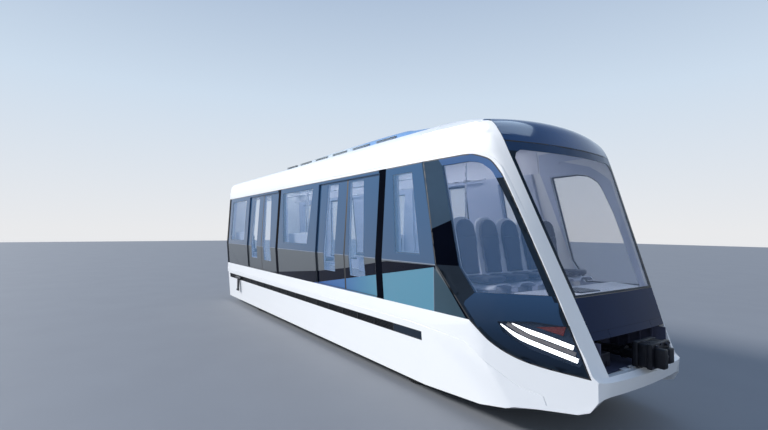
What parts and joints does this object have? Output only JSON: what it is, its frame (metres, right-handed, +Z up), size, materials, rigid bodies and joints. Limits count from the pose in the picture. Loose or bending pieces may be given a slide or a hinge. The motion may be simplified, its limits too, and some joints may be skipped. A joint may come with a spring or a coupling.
{
  "type": "automated guideway people mover car",
  "caption": "Rubber-tyred guideway car with a raked glass nose, sliding doors, steered single-axle bogies and an open rear gangway.",
  "frame": {"origin": "middle of the length and width, on the running surface under the tyres", "axes": "+X towards the nose, +Y to the left, +Z up"},
  "size_m": [12.64, 2.603, 3.95],
  "materials": {
    "white_paint": "smooth gloss white",
    "dark_glass": "dark tinted bonded glass",
    "clear_glass": "clear laminated glass",
    "navy_panel": "dark navy gloss",
    "blue_gloss": "deep blue gloss",
    "lining": "light grey-lilac moulded lining",
    "floor_cover": "grey sheet flooring",
    "black_grille": "black louvred grille",
    "chassis": "dark grey painted steel",
    "bellows": "light grey coated fabric bellows",
    "tyre": "black rubber",
    "lamp_glass": "white light bars and dark red marker behind glass",
    "seat_pad": "dark blue-grey woven cloth",
    "stainless": "brushed stainless"
  },
  "bodies": {
    "car_body": {"underframe": "chassis", "floor": "floor_cover", "equipment_boxes": "chassis", "roof": "white_paint", "roof_fairing": "blue_gloss", "rear_end_frame": "white_paint", "gangway_bellows": "bellows", "nose_hoop": "white_paint", "nose_skirt": "white_paint", "visor": "blue_gloss", "windscreen": "clear_glass", "front_apron": "navy_panel", "front_seats": "seat_pad", "console": "lining", "lower_side_right": "white_paint", "slot_grille_right": "black_grille", "side_frame_right": "lining", "side_glazing_right": "dark_glass", "cab_glass_right": "dark_glass", "bench_rear_right": "seat_pad", "bench_middle_right": "seat_pad", "handrail_right": "stainless", "collector_right": "chassis", "headlamp_right": "lamp_glass", "lower_side_left": "white_paint", "slot_grille_left": "black_grille", "side_frame_left": "lining", "side_glazing_left": "dark_glass", "cab_glass_left": "dark_glass", "bench_rear_left": "seat_pad", "bench_middle_left": "seat_pad", "handrail_left": "stainless", "collector_left": "chassis", "headlamp_left": "lamp_glass"},
    "rear_bogie": {"bogie_rear": "chassis"},
    "rear_right_wheel": {"wheel_rear_right": "tyre"},
    "rear_left_wheel": {"wheel_rear_left": "tyre"},
    "rear_back_right_guide": {"guide_wheel_rear_back_right": "tyre"},
    "rear_back_left_guide": {"guide_wheel_rear_back_left": "tyre"},
    "rear_fore_right_guide": {"guide_wheel_rear_fore_right": "tyre"},
    "rear_fore_left_guide": {"guide_wheel_rear_fore_left": "tyre"},
    "front_bogie": {"bogie_front": "chassis"},
    "front_right_wheel": {"wheel_front_right": "tyre"},
    "front_left_wheel": {"wheel_front_left": "tyre"},
    "front_back_right_guide": {"guide_wheel_front_back_right": "tyre"},
    "front_back_left_guide": {"guide_wheel_front_back_left": "tyre"},
    "front_fore_right_guide": {"guide_wheel_front_fore_right": "tyre"},
    "front_fore_left_guide": {"guide_wheel_front_fore_left": "tyre"},
    "rear_right_back_leaf": {"door_rear_right_back": "dark_glass"},
    "rear_right_fore_leaf": {"door_rear_right_fore": "dark_glass"},
    "rear_left_back_leaf": {"door_rear_left_back": "dark_glass"},
    "rear_left_fore_leaf": {"door_rear_left_fore": "dark_glass"},
    "front_right_back_leaf": {"door_front_right_back": "dark_glass"},
    "front_right_fore_leaf": {"door_front_right_fore": "dark_glass"},
    "front_left_back_leaf": {"door_front_left_back": "dark_glass"},
    "front_left_fore_leaf": {"door_front_left_fore": "dark_glass"},
    "front_coupler": {"front_coupler": "chassis"},
    "rear_drawbar": {"rear_drawbar": "chassis"}
  },
  "joints": [
    {"name": "rear_bogie_yaw", "type": "hinge", "parent": "car_body", "child": "rear_bogie", "pos_m": [-3.62, 0, 0.95], "axis": [0, 0, 1], "range_deg": [-8, 8]},
    {"name": "rear_right_wheel_spin", "type": "hinge", "parent": "rear_bogie", "child": "rear_right_wheel", "pos_m": [-3.62, -0.9, 0.43], "axis": [0, 1, 0], "continuous": true},
    {"name": "rear_left_wheel_spin", "type": "hinge", "parent": "rear_bogie", "child": "rear_left_wheel", "pos_m": [-3.62, 0.9, 0.43], "axis": [0, 1, 0], "continuous": true},
    {"name": "rear_back_right_guide_spin", "type": "hinge", "parent": "rear_bogie", "child": "rear_back_right_guide", "pos_m": [-4.42, -0.24, 0.11], "axis": [0, 0, 1], "continuous": true},
    {"name": "rear_back_left_guide_spin", "type": "hinge", "parent": "rear_bogie", "child": "rear_back_left_guide", "pos_m": [-4.42, 0.24, 0.11], "axis": [0, 0, 1], "continuous": true},
    {"name": "rear_fore_right_guide_spin", "type": "hinge", "parent": "rear_bogie", "child": "rear_fore_right_guide", "pos_m": [-2.82, -0.24, 0.11], "axis": [0, 0, 1], "continuous": true},
    {"name": "rear_fore_left_guide_spin", "type": "hinge", "parent": "rear_bogie", "child": "rear_fore_left_guide", "pos_m": [-2.82, 0.24, 0.11], "axis": [0, 0, 1], "continuous": true},
    {"name": "front_bogie_yaw", "type": "hinge", "parent": "car_body", "child": "front_bogie", "pos_m": [3.28, 0, 0.95], "axis": [0, 0, 1], "range_deg": [-8, 8]},
    {"name": "front_right_wheel_spin", "type": "hinge", "parent": "front_bogie", "child": "front_right_wheel", "pos_m": [3.28, -0.9, 0.43], "axis": [0, 1, 0], "continuous": true},
    {"name": "front_left_wheel_spin", "type": "hinge", "parent": "front_bogie", "child": "front_left_wheel", "pos_m": [3.28, 0.9, 0.43], "axis": [0, 1, 0], "continuous": true},
    {"name": "front_back_right_guide_spin", "type": "hinge", "parent": "front_bogie", "child": "front_back_right_guide", "pos_m": [2.48, -0.24, 0.11], "axis": [0, 0, 1], "continuous": true},
    {"name": "front_back_left_guide_spin", "type": "hinge", "parent": "front_bogie", "child": "front_back_left_guide", "pos_m": [2.48, 0.24, 0.11], "axis": [0, 0, 1], "continuous": true},
    {"name": "front_fore_right_guide_spin", "type": "hinge", "parent": "front_bogie", "child": "front_fore_right_guide", "pos_m": [4.08, -0.24, 0.11], "axis": [0, 0, 1], "continuous": true},
    {"name": "front_fore_left_guide_spin", "type": "hinge", "parent": "front_bogie", "child": "front_fore_left_guide", "pos_m": [4.08, 0.24, 0.11], "axis": [0, 0, 1], "continuous": true},
    {"name": "rear_right_back_leaf_slide", "type": "slide", "parent": "car_body", "child": "rear_right_back_leaf", "axis": [-1, 0, 0], "range_m": [0, 0.93]},
    {"name": "rear_right_fore_leaf_slide", "type": "slide", "parent": "car_body", "child": "rear_right_fore_leaf", "axis": [1, 0, 0], "range_m": [0, 0.93]},
    {"name": "rear_left_back_leaf_slide", "type": "slide", "parent": "car_body", "child": "rear_left_back_leaf", "axis": [-1, 0, 0], "range_m": [0, 0.93]},
    {"name": "rear_left_fore_leaf_slide", "type": "slide", "parent": "car_body", "child": "rear_left_fore_leaf", "axis": [1, 0, 0], "range_m": [0, 0.93]},
    {"name": "front_right_back_leaf_slide", "type": "slide", "parent": "car_body", "child": "front_right_back_leaf", "axis": [-1, 0, 0], "range_m": [0, 0.93]},
    {"name": "front_right_fore_leaf_slide", "type": "slide", "parent": "car_body", "child": "front_right_fore_leaf", "axis": [1, 0, 0], "range_m": [0, 0.93]},
    {"name": "front_left_back_leaf_slide", "type": "slide", "parent": "car_body", "child": "front_left_back_leaf", "axis": [-1, 0, 0], "range_m": [0, 0.93]},
    {"name": "front_left_fore_leaf_slide", "type": "slide", "parent": "car_body", "child": "front_left_fore_leaf", "axis": [1, 0, 0], "range_m": [0, 0.93]},
    {"name": "front_coupler_swing", "type": "hinge", "parent": "car_body", "child": "front_coupler", "pos_m": [5.38, 0, 0.88], "axis": [0, 0, 1], "range_deg": [-12, 12]},
    {"name": "rear_drawbar_swing", "type": "hinge", "parent": "car_body", "child": "rear_drawbar", "pos_m": [-5.87, 0, 0.735], "axis": [0, 0, 1], "range_deg": [-12, 12]}
  ],
  "couplings": [
    {"joint": "rear_right_fore_leaf_slide", "follows": "rear_right_back_leaf_slide", "ratio": 1},
    {"joint": "rear_left_fore_leaf_slide", "follows": "rear_left_back_leaf_slide", "ratio": 1},
    {"joint": "front_right_fore_leaf_slide", "follows": "front_right_back_leaf_slide", "ratio": 1},
    {"joint": "front_left_fore_leaf_slide", "follows": "front_left_back_leaf_slide", "ratio": 1}
  ]
}
